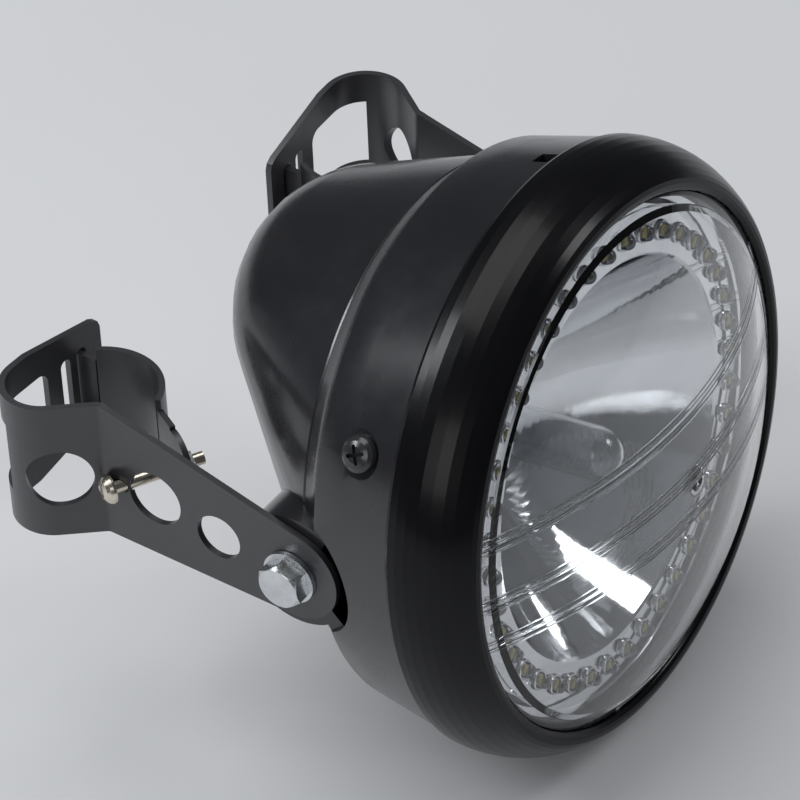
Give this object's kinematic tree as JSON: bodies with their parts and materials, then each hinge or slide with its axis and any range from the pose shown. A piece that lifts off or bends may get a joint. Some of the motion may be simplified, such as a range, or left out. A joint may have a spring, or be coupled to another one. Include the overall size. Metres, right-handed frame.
{
  "type": "motorcycle headlight",
  "caption": "Round black motorcycle headlight: domed glass, reflector ringed by small lights, deep bucket, side tilt bolts and two folded fork-clamp brackets",
  "frame": {"origin": "midway between the two clamped fork tubes, at half the height of the clamps", "axes": "+Z along the fork tubes towards the bike's top, -Y towards the road ahead, +X towards the lamp's own left"},
  "size_m": [0.1942, 0.1836, 0.185],
  "materials": {
    "bucket": "gloss black",
    "trim": "gloss black paint",
    "glass": "clear",
    "rubber": "matt",
    "reflector": "vapour coated",
    "board": "matt white",
    "led": "clear domes",
    "zinc": "bright zinc",
    "nickel": "yellowish plating",
    "black_screw": "black oxide",
    "bulb_glass": "clear",
    "bracket": "satin black powder coat"
  },
  "bodies": {
    "brackets": {"bracket_right": "bracket", "bracket_left": "bracket", "clamp_strap_right": "bracket", "clamp_strap_left": "bracket", "pinch_screw_right": "nickel", "pinch_screw_left": "nickel", "pinch_nut_right": "zinc", "pinch_nut_left": "zinc"},
    "lamp": {"bucket_shell": "bucket", "trim_ring": "trim", "lens": "glass", "lens_gasket": "rubber", "reflector": "reflector", "led_board": "board", "led_domes": "led", "lens_clips": "zinc", "bulb_glass": "bulb_glass", "bulb_collar": "zinc", "bulb_terminals": "zinc", "bulb_spring": "zinc", "bulb_boot": "rubber", "cable_grommet": "rubber", "trim_screw_right": "black_screw", "trim_screw_left": "black_screw", "mount_bolt_right": "zinc", "mount_bolt_left": "zinc", "flat_washer_right": "zinc", "flat_washer_left": "zinc", "spring_washer_right": "zinc", "spring_washer_left": "zinc", "mount_nut_right": "zinc", "mount_nut_left": "zinc"}
  },
  "joints": [
    {"name": "beam_tilt", "type": "hinge", "parent": "brackets", "child": "lamp", "pos_m": [0, -0.0776, -0.0112], "axis": [1, 0, 0], "range_deg": [-20, 40]}
  ]
}
